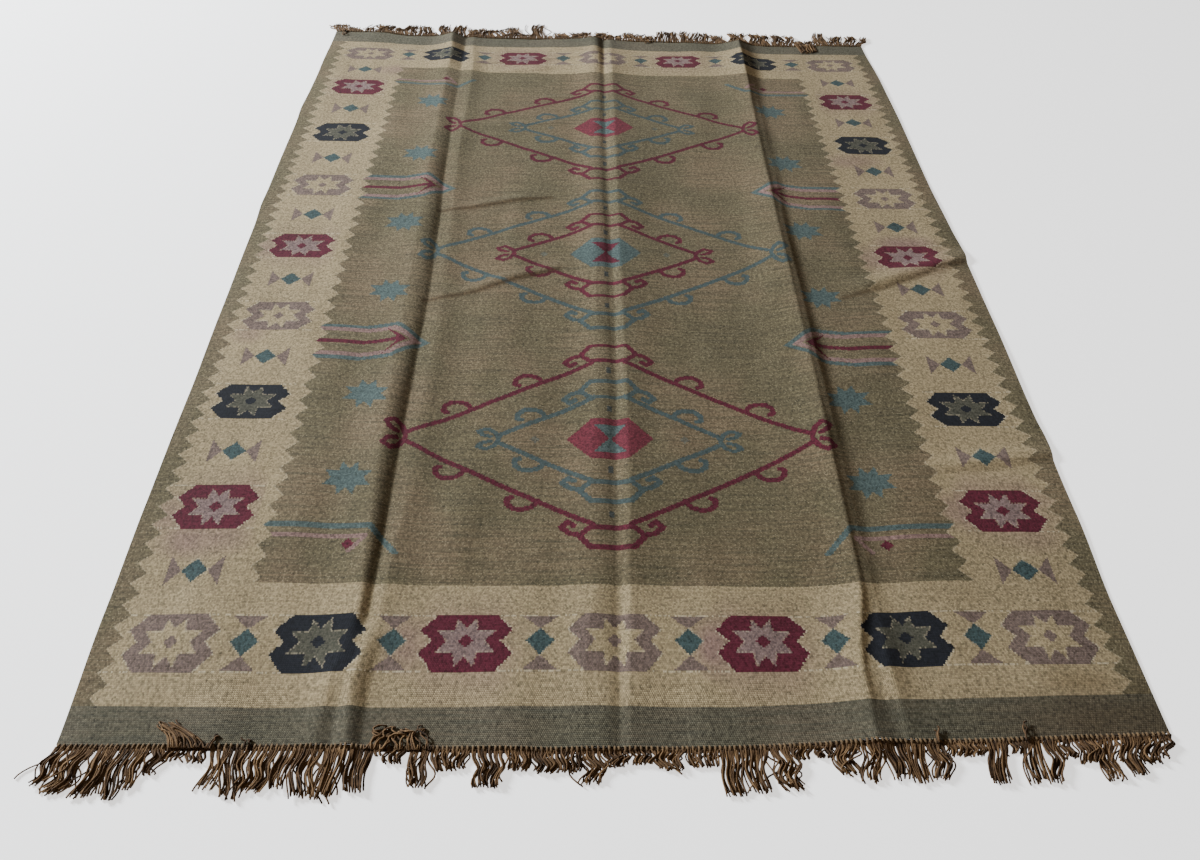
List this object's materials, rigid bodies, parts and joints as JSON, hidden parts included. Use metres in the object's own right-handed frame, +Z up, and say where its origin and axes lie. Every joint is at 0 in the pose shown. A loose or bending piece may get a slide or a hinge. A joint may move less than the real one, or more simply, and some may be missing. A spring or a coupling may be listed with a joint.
{
  "type": "kilim rug",
  "caption": "Flat-woven wool kilim rug with a hooked-diamond field, a border of stars and a knotted fringe at each short end, lying with soft storage creases.",
  "frame": {"origin": "middle of the rug's base, on the floor that it lies on", "axes": "+X across the rug, +Y along it towards the far end, +Z up"},
  "size_m": [2.0562, 3.1166, 0.0238],
  "materials": {
    "woven_wool": "matte flat-woven wool in khaki, cream, wine red, dusty blue, navy and lilac",
    "fringe_yarn": "matte brown plied yarn"
  },
  "bodies": {
    "root": {"woven_panel": "woven_wool", "fringe_near": "fringe_yarn", "fringe_far": "fringe_yarn"}
  },
  "joints": []
}
